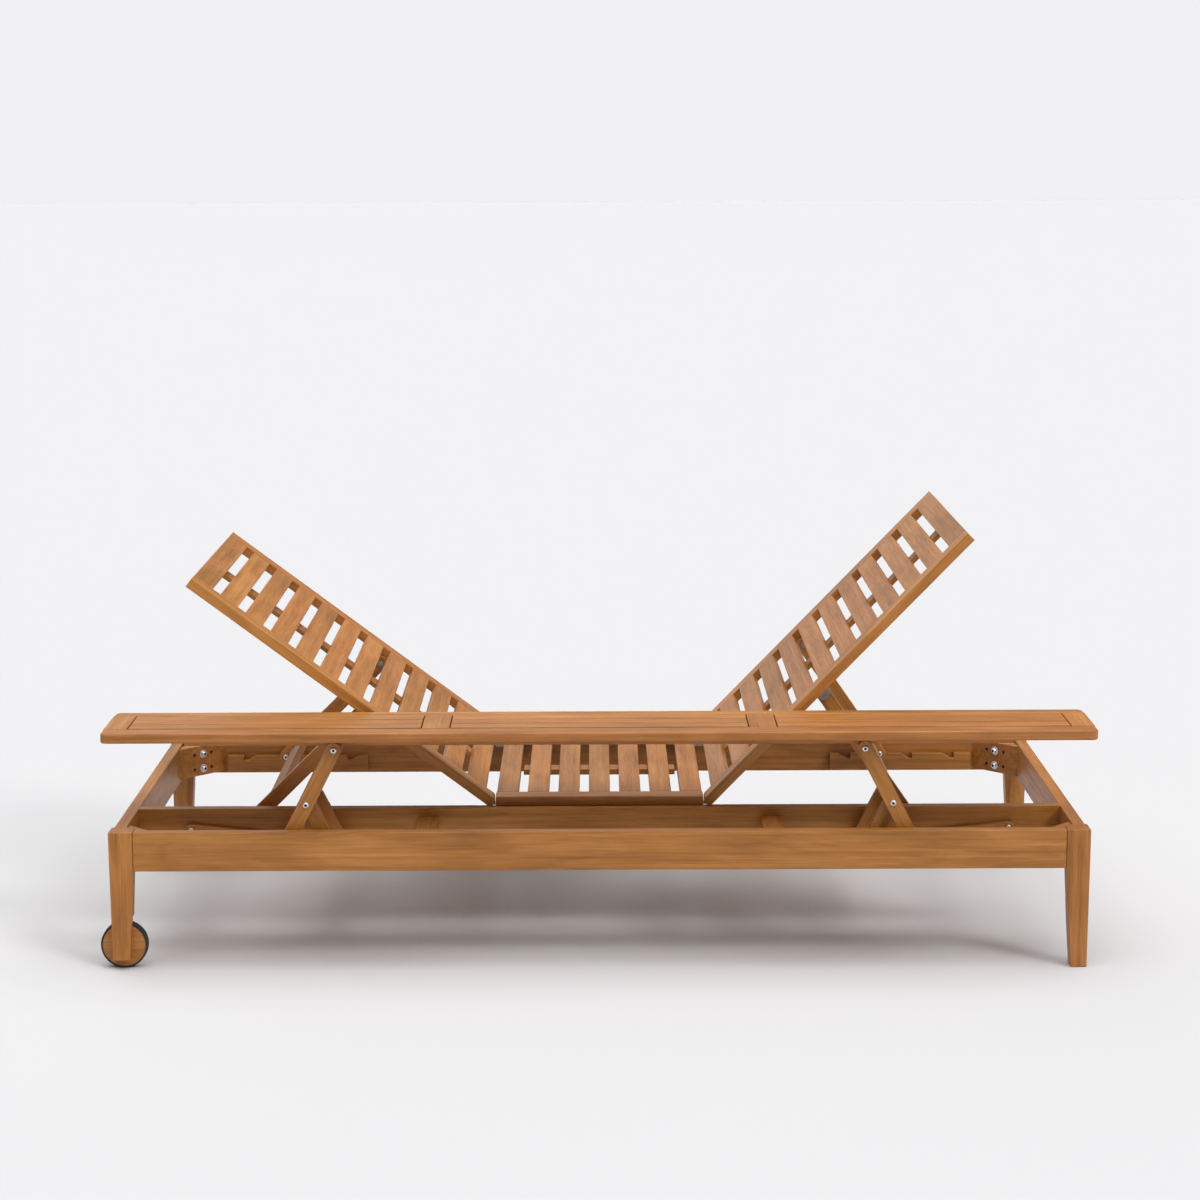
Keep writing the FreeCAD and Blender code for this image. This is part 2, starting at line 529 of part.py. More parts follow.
# ---------------------------------------------------------------- shelf
SHELF_Z = ("shelf_low", "shelf_low + panel_thick")
FULL_X = ("-shelf_half", "shelf_half")
STILE_END = "shelf_front + shelf_stile"
BACK_START = "shelf_front + shelf_stile + 4 * groove + 3 * shelf_slat"
SHELF_BACK = "shelf_front + shelf_width"
BETWEEN_Y = (STILE_END, BACK_START)
node("shelf_stiles", [box("shelf_front_board", FULL_X, ("shelf_front", STILE_END), SHELF_Z),
                      box("shelf_back_board", FULL_X, (BACK_START, SHELF_BACK), SHELF_Z)])
node("shelf_ends", [box("shelf_end_%d" % side, sided(side, "shelf_half - shelf_end", "shelf_half"),
                        BETWEEN_Y, SHELF_Z) for side in (-1, 1)])
node("shelf_cross_boards", [box("shelf_cross_%d" % side, sided(side, "cross_at", "cross_at + cross_width"),
                                BETWEEN_Y, SHELF_Z) for side in (-1, 1)])
fields = [("left", ("-shelf_half + shelf_end + 2.5", "-cross_at - cross_width - 2.5")),
          ("middle", ("-cross_at + 2.5", "cross_at - 2.5")),
          ("right", ("cross_at + cross_width + 2.5", "shelf_half - shelf_end - 2.5"))]
planks = []
for tag, x in fields:
    for index in range(3):
        start = "%s + groove + %d * (shelf_slat + groove)" % (STILE_END, index)
        planks.append(box("plank_%s_%d" % (tag, index), x, (start, start + " + shelf_slat"), SHELF_Z))
node("shelf_slats", planks)

LEG_NEAR_Y = ("-depth_half + 36", "-depth_half + 36 + bar_thick")
LEG_FAR_Y = ("-depth_half + 153", "-depth_half + 153 + bar_thick")
LUG_NEAR_Y = ("-depth_half + 54.5", "-depth_half + 74.5")
LUG_FAR_Y = ("-depth_half + 132.5", "-depth_half + 152.5")
TOP_PIVOT_Z = "shelf_low - lug_drop"


def batten(name, y):
    """A strip under the shelf with a round-ended lug below it at each upper leg pivot."""
    parts = [box(name + "_strip", ("-batten_half", "batten_half"), y, ("shelf_low - batten_high", "shelf_low"))]
    holes = []
    for side in (-1, 1):
        x = "%d * lift_x" % side
        parts.append(box("%s_lug_%d" % (name, side), ("%s - bar_half" % x, "%s + bar_half" % x), y,
                         (TOP_PIVOT_Z, "shelf_low - batten_high")))
        parts.append(rod("%s_round_%d" % (name, side), x, y, TOP_PIVOT_Z, "bar_half"))
        holes.append(rod("%s_hole_%d" % (name, side), x, ("%s - 1" % y[0], "%s + 1" % y[1]), TOP_PIVOT_Z,
                         "bolt_radius"))
    return cut(name, fuse(name + "_blank", parts), holes)


node("shelf_battens", [batten("batten_near", LUG_NEAR_Y), batten("batten_far", LUG_FAR_Y)])
tops = []
for side in (-1, 1):
    x = "%d * lift_x" % side
    tops.append(bolt("top_bolt_near_%d" % side, x, TOP_PIVOT_Z, (LEG_NEAR_Y[0] + " - 0.3", LUG_NEAR_Y[1]),
                     (LEG_NEAR_Y[0] + " - 0.3 - head_height", LEG_NEAR_Y[0] + " - 0.3")))
    tops.append(bolt("top_bolt_far_%d" % side, x, TOP_PIVOT_Z, (LUG_FAR_Y[0], LEG_FAR_Y[1] + " + 0.3"),
                     (LEG_FAR_Y[1] + " + 0.3", LEG_FAR_Y[1] + " + 0.3 + head_height")))
node("shelf_pivot_bolts", tops)

# ---------------------------------------------------------------- folding legs and stays
SHORT_NEAR_Y = ("-depth_half + 55", "-depth_half + 73")
SHORT_FAR_Y = ("-depth_half + 172", "-depth_half + 190")
for tag, side in (("left", -1), ("right", 1)):
    at = ("%d * lift_x" % side, TOP_PIVOT_Z, "%d * lift_angle" % side)
    name = tag + "_long_leg"
    holes = [("0", "bolt_radius + play"), ("link", "bolt_radius"), ("2 * link", "dowel_radius")]
    node(name + "_bars", [bar(name + "_near", "2 * link", "bar_half", LEG_NEAR_Y, holes, side),
                          bar(name + "_far", "2 * link", "bar_half", LEG_FAR_Y, holes, side)], *at)
    node(name + "_dowel", [rod(name + "_foot", "%d * 2 * link" % side, ("-depth_half + 26", "inner_front - 1"),
                               "0", "dowel_radius")], *at)
    node(name + "_bolts", [
        bolt("%s_bolt_%s" % (name, end), "%d * link" % side, "0", (long_y[0], short_y[1]),
             (long_y[0] + " - head_height", long_y[0]))
        for end, long_y, short_y in (("near", LEG_NEAR_Y, SHORT_NEAR_Y), ("far", LEG_FAR_Y, SHORT_FAR_Y))], *at)
    at = ("%d * lift_x" % side, "lift_z", "%d * -lift_angle" % side)
    name = tag + "_short_leg"
    holes = [("0", "bolt_radius + 1 + play"), ("link", "bolt_radius + play")]
    node(name + "_bars", [bar(name + "_near", "link", "bar_half", SHORT_NEAR_Y, holes, side),
                          bar(name + "_far", "link", "bar_half", SHORT_FAR_Y, holes, side)], *at)
    at = ("%d * stay_x" % side, "stay_z", "%d * -stay_angle" % side)
    blank = bar(tag + "_stay_bar", "stay_reach", "stay_half", STAY_Y, [("0", "bolt_radius + play")], -side)
    relief = profile(tag + "_stay_relief", "XZ", [
        ("%d * 206.5" % -side, "-20"), ("%d * 206.5" % -side, "7.5"), ("%d * 196" % -side, "7.5"),
        ("%d * 166" % -side, "-0.5"), ("%d * 116" % -side, "-13.2"), ("%d * 116" % -side, "-20")],
        ("%s - 1" % STAY_Y[0], "%s + 1" % STAY_Y[1]))
    node(tag + "_stay", [cut(tag + "_stay_cut", blank, [relief])], *at)

# ---------------------------------------------------------------- checks and export
doc.recompute()
faults = []
for item in doc.Objects:
    if "Invalid" in item.State or "Error" in item.State:
        faults.append(item.Name + " " + str(item.State))
for item in nodes:
    if item.Shape.isNull() or not item.Shape.isValid() or not item.Shape.Solids:
        faults.append(item.Label + " has no valid solid")
if faults:
    raise RuntimeError("; ".join(faults))

os.makedirs("parts", exist_ok=True)
for item in nodes:
    shape = Part.makeCompound(item.Shape.Solids) if len(item.Shape.Solids) > 1 else item.Shape.Solids[0]
    shape.exportStep("parts/%s.step" % item.Label)
print("exported", len(nodes), "nodes")
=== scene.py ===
import math

import bmesh
import bpy
import numpy as np
from mathutils import Matrix, Vector


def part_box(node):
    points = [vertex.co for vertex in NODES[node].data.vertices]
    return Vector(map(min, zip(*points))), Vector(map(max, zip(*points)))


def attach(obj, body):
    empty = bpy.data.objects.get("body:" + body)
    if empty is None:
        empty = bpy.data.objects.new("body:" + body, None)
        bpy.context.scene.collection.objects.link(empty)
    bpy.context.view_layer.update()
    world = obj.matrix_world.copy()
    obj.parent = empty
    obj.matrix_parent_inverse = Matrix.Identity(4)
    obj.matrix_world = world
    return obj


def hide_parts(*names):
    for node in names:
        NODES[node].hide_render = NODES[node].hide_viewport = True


bl_info = {
    "name": "Reclining Sun Lounger",
    "version": (1, 0, 0),
    "blender": (4, 5, 0),
    "location": "3D View > Sidebar > Lounger",
    "description": "Wooden sun lounger with two folding backrests and a side shelf on folding legs",
    "category": "Add Mesh",
}

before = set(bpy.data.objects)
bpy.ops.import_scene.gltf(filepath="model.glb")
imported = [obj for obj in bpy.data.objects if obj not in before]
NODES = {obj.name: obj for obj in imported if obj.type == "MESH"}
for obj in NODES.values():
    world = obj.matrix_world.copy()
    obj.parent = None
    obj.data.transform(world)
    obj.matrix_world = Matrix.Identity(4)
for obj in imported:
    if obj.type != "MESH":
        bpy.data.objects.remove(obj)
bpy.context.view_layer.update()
SIDES = ("left", "right")
MM = 0.001
ALONG, ACROSS, UPRIGHT = Vector((1, 0, 0)), Vector((0, 1, 0)), Vector((0, 0, 1))
END_BAND = 0.3 * MM        # points this close to a solid's end count as its end
SAME_PLACE = 6             # decimals in metres at which two points are one
PIVOT_RADIUS = 4 * MM      # shank of the pivot bolts, ratchet pins and hinge pins
PIVOT_HEAD = 3.5 * MM      # height of a pivot bolt's head
RAIL_JOINT = 0.7 * MM      # open joint at each end of the front and back rails
SLAT_JOINT = 0.4 * MM      # open joint at each end of a slat
EASED = 0.5 * MM           # edges only eased with sandpaper
BROKEN = 0.8 * MM          # edges broken with a file
PLATE_EDGE = 1.2 * MM      # edges of the corner plates
SEAT_PAINTED_SHADE = 0.82           # painted shade: the seat's slats are drawn darker, for the shade that the shelf and backrests cast


# ------------------------------------------------------------------ sizes and colours
class LoungerColours(bpy.types.PropertyGroup):
    """Colours of the finishes, as sRGB hex values"""
    wood_light: bpy.props.StringProperty(
        name="Wood, early growth", description="Pale summer wood between the growth lines", default="#BE8041")
    wood_mid: bpy.props.StringProperty(
        name="Wood, body", description="Main tone of the oiled boards", default="#A96B28")
    wood_dark: bpy.props.StringProperty(
        name="Wood, growth lines", description="Dark late wood of the growth lines", default="#87531C")
    zinc: bpy.props.StringProperty(
        name="Zinc plate", description="Bright bolts, washers and pins", default="#E9EBED")
    galvanised: bpy.props.StringProperty(
        name="Galvanised steel", description="Brackets and hinge leaves", default="#A7A9A7")
    # the corner screws are black oxide; on the floors of the bolt sockets this colour is painted shade
    oxide_black_and_socket_shade: bpy.props.StringProperty(
        name="Black oxide", description="Corner screws and the floors of the bolt sockets", default="#1D1B1A")
    rubber: bpy.props.StringProperty(
        name="Tyre rubber", description="Charcoal tyres", default="#1D1D1F")
    floor: bpy.props.StringProperty(
        name="Floor", description="Matt pale studio floor", default="#CCCCCC")
    haze: bpy.props.StringProperty(
        name="Studio haze", description="Light that fills the room at eye level", default="#F1F1F3")


class LoungerSizes(bpy.types.PropertyGroup):
    """Sizes that Blender adds to the frame"""
    rail_round: bpy.props.FloatProperty(
        name="Rail rounding", description="Radius sanded on the rails' and legs' edges",
        default=2.2 * MM, unit="LENGTH")
    panel_round: bpy.props.FloatProperty(
        name="Panel rounding", description="Radius of the stiles' edges on seat and backrests",
        default=3.0 * MM, unit="LENGTH")
    slat_round: bpy.props.FloatProperty(
        name="Slat rounding", description="Radius of the slats' long edges", default=1.6 * MM, unit="LENGTH")
    bar_round: bpy.props.FloatProperty(
        name="Bar rounding", description="Radius of the edges of props, folding legs and stays",
        default=1.5 * MM, unit="LENGTH")
    shelf_round: bpy.props.FloatProperty(
        name="Shelf rounding", description="Radius along the shelf's outer edges", default=3.5 * MM,
        unit="LENGTH")
    shelf_corner: bpy.props.FloatProperty(
        name="Shelf corner", description="Radius of the shelf's four corners in plan",
        default=13 * MM, unit="LENGTH")
    steel_round: bpy.props.FloatProperty(
        name="Steel rounding", description="Rolled edge of the bent brackets", default=0.5 * MM,
        unit="LENGTH")
    screw_radius: bpy.props.FloatProperty(
        name="Screw head", description="Radius of the small screws under the slats", default=3.6 * MM,
        unit="LENGTH")
    ring_spacing: bpy.props.FloatProperty(
        name="Growth line spacing", description="Distance between growth lines on a board's face",
        default=5 * MM, unit="LENGTH")


class LoungerStage(bpy.types.PropertyGroup):
    """Camera and light"""
    camera_place: bpy.props.FloatVectorProperty(
        name="Camera place", description="Where the camera stands",
        default=(-0.00535, -5.8922, 1.6794), subtype="TRANSLATION", unit="LENGTH")
    camera_pitch: bpy.props.FloatProperty(
        name="Camera pitch", description="How far the camera looks down", default=math.radians(9.6),
        subtype="ANGLE")
    camera_yaw: bpy.props.FloatProperty(
        name="Camera yaw", description="How far the camera looks to the right", default=math.radians(0.08),
        subtype="ANGLE")
    camera_roll: bpy.props.FloatProperty(
        name="Camera roll", description="How far the camera leans", default=math.radians(-0.2),
        subtype="ANGLE")
    lens: bpy.props.FloatProperty(
        name="Lens", description="Focal length on a 36 mm sensor, in millimetres", default=83.55)
    haze_strength: bpy.props.FloatProperty(
        name="Haze strength", description="Brightness of the room at eye level", default=1.0)
    wall_strength: bpy.props.FloatProperty(
        name="Wall strength", description="Brightness of the room above eye level", default=0.12)
    backdrop_strength: bpy.props.FloatProperty(
        name="Backdrop strength", description="Brightness of the backdrop behind the lounger", default=0.85)
    ceiling_strength: bpy.props.FloatProperty(
        name="Ceiling strength", description="Brightness of the white ceiling", default=3.50)
    key_way: bpy.props.FloatVectorProperty(
        name="Key light", description="Direction from the lounger towards the key light",
        default=(0.58, -0.53, 0.61), subtype="DIRECTION")
    key_strength: bpy.props.FloatProperty(
        name="Key strength", description="Light that the key throws on a face turned to it", default=0.95)
    key_angle: bpy.props.FloatProperty(
        name="Key width", description="How wide the key light looks from the lounger",
        default=math.radians(15), subtype="ANGLE")


# ------------------------------------------------------------------ materials
def linear(code):
    """An sRGB hex colour as the linear RGBA that a shader socket takes."""
    parts = [int(code[i:i + 2], 16) / 255 for i in (1, 3, 5)]
    return (*((c / 12.92 if c <= 0.04045 else ((c + 0.055) / 1.055) ** 2.4) for c in parts), 1.0)


def add_node(tree, kind, settings=None, values=None, feeds=None):
    """One shader node with its settings, its fixed inputs and the outputs that feed it."""
    made = tree.nodes.new(kind)
    for key, value in (settings or {}).items():
        setattr(made, key, value)
    for key, value in (values or {}).items():
        made.inputs[key].default_value = value
    for key, source in (feeds or {}).items():
        tree.links.new(source, made.inputs[key])
    return made


def blank(name):
    """An empty material and its node tree."""
    made = bpy.data.materials.new(name)
    made.use_nodes = True
    made.node_tree.nodes.clear()
    return made, made.node_tree


def close(tree, shader):
    """Lead a shader to the material's output."""
    add_node(tree, "ShaderNodeOutputMaterial", feeds={"Surface": shader.outputs[0]})


def set_ramp(ramp, stops):
    """Give a colour ramp its stops, as (place, linear colour) pairs."""
    line = ramp.color_ramp
    while len(line.elements) < len(stops):
        line.elements.new(0.5)
    for element, (place, colour) in zip(line.elements, stops):
        element.position = place
        element.color = colour


WOODS = {}


def oiled_acacia(direction, lightness=1.0):
    """Oiled acacia, planed and sanded, its grain running along the given direction.

    Acacia is a warm golden-brown hardwood: soft flame-shaped growth lines, darker pore streaks along the
    board, and every board a slightly different tone. The oil leaves a satin sheen that greys the faces
    seen at a low angle."""
    turn = direction.rotation_difference(ALONG).to_euler("XYZ")
    key = tuple(round(math.degrees(a)) for a in turn) + (lightness,)
    if key in WOODS:
        return WOODS[key]
    colours = bpy.context.scene.lounger_colours
    spacing = bpy.context.scene.lounger_sizes.ring_spacing
    made, tree = blank("oiled_acacia_%02d" % (len(WOODS) + 1))
    WOODS[key] = made
    place = add_node(tree, "ShaderNodeTexCoord")
    board = add_node(tree, "ShaderNodeNewGeometry")
    lie = add_node(tree, "ShaderNodeMapping", values={"Rotation": turn},
                   feeds={"Vector": place.outputs["Object"]})
    # each board is cut from another part of the tree
    tree_part = add_node(tree, "ShaderNodeVectorMath", {"operation": "MULTIPLY_ADD"}, {1: (31.7, 17.9, 23.3)},
                         {0: board.outputs["Random Per Island"], 2: lie.outputs["Vector"]})
    # the figure is 1.1 m long and 80 mm wide, and its contours are the growth lines; it climbs from 0 to 1
    # over about 100 mm of a board's width
    figure_climb = 100 * MM
    figure_span = add_node(tree, "ShaderNodeMapping", values={"Scale": (0.9, 12.5, 12.5)},
                           feeds={"Vector": tree_part.outputs["Vector"]})
    figure = add_node(tree, "ShaderNodeTexNoise", values={"Scale": 1.0, "Detail": 2.5, "Roughness": 0.5,
                                                          "Distortion": 0.5},
                      feeds={"Vector": figure_span.outputs["Vector"]})
    # pores are 0.2 mm wide in the tree and drawn 1.6 mm wide here, so that they show
    pore_span = add_node(tree, "ShaderNodeMapping", values={"Scale": (14.0, 620.0, 620.0)},
                         feeds={"Vector": tree_part.outputs["Vector"]})
    pores = add_node(tree, "ShaderNodeTexNoise", values={"Scale": 1.0, "Detail": 2.0, "Roughness": 0.65},
                     feeds={"Vector": pore_span.outputs["Vector"]})
    # streaks 9 mm wide and clouds 55 mm wide, where the oil has soaked in unevenly
    streak_span = add_node(tree, "ShaderNodeMapping", values={"Scale": (2.2, 110.0, 110.0)},
                           feeds={"Vector": tree_part.outputs["Vector"]})
    streaks = add_node(tree, "ShaderNodeTexNoise", values={"Scale": 1.0, "Detail": 4.0, "Roughness": 0.6,
                                                           "Distortion": 0.2},
                       feeds={"Vector": streak_span.outputs["Vector"]})
    cloud_span = add_node(tree, "ShaderNodeMapping", values={"Scale": (4.5, 18.0, 18.0)},
                          feeds={"Vector": tree_part.outputs["Vector"]})
    clouds = add_node(tree, "ShaderNodeTexNoise", values={"Scale": 1.0, "Detail": 3.0, "Roughness": 0.55,
                                                          "Distortion": 0.6},
                      feeds={"Vector": cloud_span.outputs["Vector"]})
    lines = add_node(tree, "ShaderNodeMath", {"operation": "MULTIPLY_ADD"},
                     {1: figure_climb / spacing}, {0: figure.outputs["Fac"], 2: streaks.outputs["Fac"]})
    ring = add_node(tree, "ShaderNodeMath", {"operation": "FRACT"}, feeds={0: lines.outputs["Value"]})
    growth = add_node(tree, "ShaderNodeValToRGB", feeds={"Fac": ring.outputs["Value"]})
    set_ramp(growth, [(0.0, (0.0, 0.0, 0.0, 1)), (0.25, (0.7, 0.7, 0.7, 1)),
                      (0.75, (1.0, 1.0, 1.0, 1)), (1.0, (0.0, 0.0, 0.0, 1))])
    growth.color_ramp.interpolation = "EASE"
    tone = clouds.outputs["Fac"]
    for pattern, share in ((streaks.outputs["Fac"], 1.1), (pores.outputs["Fac"], 0.55),
                           (growth.outputs["Color"], 0.10)):
        tone = add_node(tree, "ShaderNodeMath", {"operation": "MULTIPLY_ADD"}, {1: share},
                        {0: pattern, 2: tone}).outputs["Value"]
    span = add_node(tree, "ShaderNodeMapRange", values={"From Min": 1.02, "From Max": 1.76},
                    feeds={"Value": tone})
    colour = add_node(tree, "ShaderNodeValToRGB", feeds={"Fac": span.outputs["Result"]})
    set_ramp(colour, [(0.0, linear(colours.wood_dark)), (0.5, linear(colours.wood_mid)),
                      (1.0, linear(colours.wood_light))])
    odds = add_node(tree, "ShaderNodeVectorMath", {"operation": "MULTIPLY"}, {1: (71.3, 37.9, 53.1)},
                    {0: board.outputs["Random Per Island"]})
    part = add_node(tree, "ShaderNodeVectorMath", {"operation": "FRACTION"},
                    feeds={0: odds.outputs["Vector"]})
    each = add_node(tree, "ShaderNodeSeparateXYZ", feeds={"Vector": part.outputs["Vector"]})
    hue = add_node(tree, "ShaderNodeMapRange", values={"To Min": 0.4965, "To Max": 0.5035},
                   feeds={"Value": each.outputs["X"]})
    # a lightness below 1 darkens every board of the material; the seat's slats use it as painted shade
    value = add_node(tree, "ShaderNodeMapRange",
                     values={"To Min": 0.88 * lightness, "To Max": 1.10 * lightness},
                     feeds={"Value": each.outputs["Y"]})
    varied = add_node(tree, "ShaderNodeHueSaturation", feeds={
        "Hue": hue.outputs["Result"], "Value": value.outputs["Result"], "Color": colour.outputs["Color"]})
    sheen = add_node(tree, "ShaderNodeMapRange", values={"From Min": 0.3, "From Max": 0.7, "To Min": 0.52,
                                                         "To Max": 0.40},
                     feeds={"Value": pores.outputs["Fac"]})
    relief = add_node(tree, "ShaderNodeMath", {"operation": "MULTIPLY_ADD"}, {1: 0.6},
                      {0: pores.outputs["Fac"], 2: streaks.outputs["Fac"]})
    bump = add_node(tree, "ShaderNodeBump", values={"Strength": 0.35, "Distance": 0.0004},
                    feeds={"Height": relief.outputs["Value"]})
    shader = add_node(tree, "ShaderNodeBsdfPrincipled", values={"IOR": 1.48}, feeds={
        "Base Color": varied.outputs["Color"], "Roughness": sheen.outputs["Result"],
        "Normal": bump.outputs["Normal"]})
    close(tree, shader)
    return made


def zinc_plate():
    """Zinc-plated steel, tumbled: bright silver, its highlights softened by handling marks 1 mm across."""
    made, tree = blank("zinc_plated_steel")
    place = add_node(tree, "ShaderNodeTexCoord")
    marks = add_node(tree, "ShaderNodeTexNoise", values={"Scale": 900.0, "Detail": 3.0},
                     feeds={"Vector": place.outputs["Object"]})
    dull = add_node(tree, "ShaderNodeMapRange", values={"To Min": 0.16, "To Max": 0.42},
                    feeds={"Value": marks.outputs["Fac"]})
    bump = add_node(tree, "ShaderNodeBump", values={"Strength": 0.15, "Distance": 0.0001},
                    feeds={"Height": marks.outputs["Fac"]})
    close(tree, add_node(tree, "ShaderNodeBsdfPrincipled", values={
        "Base Color": linear(bpy.context.scene.lounger_colours.zinc), "Metallic": 1.0},
        feeds={"Roughness": dull.outputs["Result"], "Normal": bump.outputs["Normal"]}))
    return made


def galvanised_steel():
    """Hot-dip galvanised sheet: dull grey with faint crystal patches 4 to 5 mm across."""
    made, tree = blank("galvanised_steel")
    colours = bpy.context.scene.lounger_colours
    place = add_node(tree, "ShaderNodeTexCoord")
    crystals = add_node(tree, "ShaderNodeTexVoronoi", values={"Scale": 220.0},
                        feeds={"Vector": place.outputs["Object"]})
    grey = add_node(tree, "ShaderNodeSeparateColor", feeds={"Color": crystals.outputs["Color"]})
    shade = add_node(tree, "ShaderNodeValToRGB", feeds={"Fac": grey.outputs["Red"]})
    base = linear(colours.galvanised)
    set_ramp(shade, [(0.0, tuple(0.72 * c for c in base[:3]) + (1,)), (1.0, base)])
    dull = add_node(tree, "ShaderNodeMapRange", values={"To Min": 0.38, "To Max": 0.58},
                    feeds={"Value": grey.outputs["Green"]})
    close(tree, add_node(tree, "ShaderNodeBsdfPrincipled", values={"Metallic": 1.0},
                         feeds={"Base Color": shade.outputs["Color"], "Roughness": dull.outputs["Result"]}))
    return made


def oxide_black_and_socket_shade():
    """Black-oxide steel: almost black, with a low gloss that varies where oil films lie, 2 to 3 mm across.
    The same material paints shade on the floors of the bolt sockets.
    """
    made, tree = blank("oxide_steel_and_socket_shade")
    place = add_node(tree, "ShaderNodeTexCoord")
    film = add_node(tree, "ShaderNodeTexNoise", values={"Scale": 400.0, "Detail": 2.0},
                    feeds={"Vector": place.outputs["Object"]})
    dull = add_node(tree, "ShaderNodeMapRange", values={"To Min": 0.35, "To Max": 0.6},
                    feeds={"Value": film.outputs["Fac"]})
    close(tree, add_node(tree, "ShaderNodeBsdfPrincipled", values={
        "Base Color": linear(bpy.context.scene.lounger_colours.oxide_black_and_socket_shade), "Metallic": 0.6},
        feeds={"Roughness": dull.outputs["Result"]}))
    return made


def tyre_rubber():
    """Moulded rubber: matt charcoal, its skin grained at 1.4 mm, with paler scuffs about 17 mm across."""
    made, tree = blank("moulded_rubber")
    base = linear(bpy.context.scene.lounger_colours.rubber)
    place = add_node(tree, "ShaderNodeTexCoord")
    skin = add_node(tree, "ShaderNodeTexNoise", values={"Scale": 700.0, "Detail": 3.0},
                    feeds={"Vector": place.outputs["Object"]})
    scuffs = add_node(tree, "ShaderNodeTexNoise", values={"Scale": 60.0, "Detail": 4.0, "Roughness": 0.7},
                      feeds={"Vector": place.outputs["Object"]})
    shade = add_node(tree, "ShaderNodeValToRGB", feeds={"Fac": scuffs.outputs["Fac"]})
    set_ramp(shade, [(0.35, base), (0.8, tuple(1.9 * c for c in base[:3]) + (1,))])
    bump = add_node(tree, "ShaderNodeBump", values={"Strength": 0.3, "Distance": 0.0002},
                    feeds={"Height": skin.outputs["Fac"]})
    close(tree, add_node(tree, "ShaderNodeBsdfPrincipled", values={"Roughness": 0.72},
                         feeds={"Base Color": shade.outputs["Color"], "Normal": bump.outputs["Normal"]}))
    return made


def studio_floor():
    """Matt painted floor: pale and even, with a barely visible roller texture of 8 mm."""
    made, tree = blank("matt_studio_paint")
    place = add_node(tree, "ShaderNodeTexCoord")
    roller = add_node(tree, "ShaderNodeTexNoise", values={"Scale": 120.0, "Detail": 2.0},
                      feeds={"Vector": place.outputs["Object"]})
    bump = add_node(tree, "ShaderNodeBump", values={"Strength": 0.02, "Distance": 0.0005},
                    feeds={"Height": roller.outputs["Fac"]})
    close(tree, add_node(tree, "ShaderNodeBsdfPrincipled", values={
        "Base Color": linear(bpy.context.scene.lounger_colours.floor), "Roughness": 0.95,
        "Specular IOR Level": 0.0}, feeds={"Normal": bump.outputs["Normal"]}))
    return made


FINISHES = {}


def finish_of(name):
    """The shared material of that name, made on first use."""
    makers = {"zinc": zinc_plate, "galvanised": galvanised_steel, "black": oxide_black_and_socket_shade, "rubber": tyre_rubber}
    if name not in FINISHES:
        FINISHES[name] = makers[name]()
    return FINISHES[name]


# ------------------------------------------------------------------ reading the frame
def solids_of(node):
    """The points of each separate solid of a CAD node, in metres, ordered from left to right."""
    mesh = NODES[node].data
    points = np.array([v.co for v in mesh.vertices])
    names = {}
    index = [names.setdefault(tuple(np.round(p, SAME_PLACE)), len(names)) for p in points]
    root = list(range(len(names)))

    def top(i):
        while root[i] != i:
            root[i] = root[root[i]]
            i = root[i]
        return i

    for face in mesh.polygons:
        first = index[face.vertices[0]]
        for vertex in face.vertices[1:]:
            root[top(index[vertex])] = top(first)
    groups = {}
    for place, number in names.items():
        groups.setdefault(top(number), []).append(place)
    return sorted((np.array(g) for g in groups.values()), key=lambda g: (g[:, 0].mean(), g[:, 1].mean()))


def middle(points):
    """The middle of the box round some points."""
    return Vector((points.min(0) + points.max(0)) / 2)


def long_axis(node):
    """The direction in which a board is longest."""
    points = solids_of(node)[0]
    spread = np.linalg.svd(points - (points.min(0) + points.max(0)) / 2, full_matrices=False)[2][0]
    return Vector(spread if spread[np.argmax(abs(spread))] > 0 else -spread)


def round_fit(points, axis):
    """A round solid along an axis: the point on its centre line at its low end, its length, and its radius at
    the low end and at the high end."""
    axis = np.array(axis, float)
    along = points @ axis
    across = np.cross(axis, (0, 0, 1))
    across /= np.linalg.norm(across)
    sideways, upright = points @ across, points[:, 2]
    centre = across * (sideways.min() + sideways.max()) / 2
    centre[2] = (upright.min() + upright.max()) / 2
    radii = []
    for end in (along.min(), along.max()):
        ring = points[abs(along - end) < END_BAND]
        radii.append(float(np.linalg.norm(np.cross(ring - centre, axis), axis=1).max()))
    return Vector(centre + axis * along.min()), float(along.max() - along.min()), radii


# ------------------------------------------------------------------ making pieces
def soften(piece, radius):
    """Sand an edge radius on a piece: merge its doubled points and flat faces, then round the edges."""
    weld = piece.modifiers.new("weld", "WELD")
    weld.merge_threshold = 0.01 * MM
    flat = piece.modifiers.new("flats", "DECIMATE")
    flat.decimate_type = "DISSOLVE"
    flat.angle_limit = math.radians(0.5)
    edge = piece.modifiers.new("sanded_edges", "BEVEL")
    edge.width = radius
    edge.segments = 3
    edge.limit_method = "ANGLE"
    edge.angle_limit = math.radians(35)
    edge.use_clamp_overlap = True
    shade = piece.modifiers.new("shading", "WEIGHTED_NORMAL")
    shade.keep_sharp = False
    piece.data.shade_smooth()


def finish_boards(piece, node, radius, material):
    """Round a piece's edges and give it a finish, which is oiled acacia along the node's boards if none is
    given."""
    soften(piece, radius)
    piece.data.materials.clear()
    piece.data.materials.append(material or oiled_acacia(long_axis(node)))


def dress(node, radius, material=None):
    """Give a CAD node its rounded edges and its finish."""
    if node not in NODES:
        raise ValueError("no node " + node)
    finish_boards(NODES[node], node, radius, material)


def place_piece(name, mesh, body, replaced):
    """Put a mesh in the scene as a piece on a body, standing for the CAD nodes named in replaced."""
    piece = bpy.data.objects.new(name, mesh)
    bpy.context.scene.collection.objects.link(piece)
    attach(piece, body)
    if replaced:
        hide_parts(*replaced)
    return piece


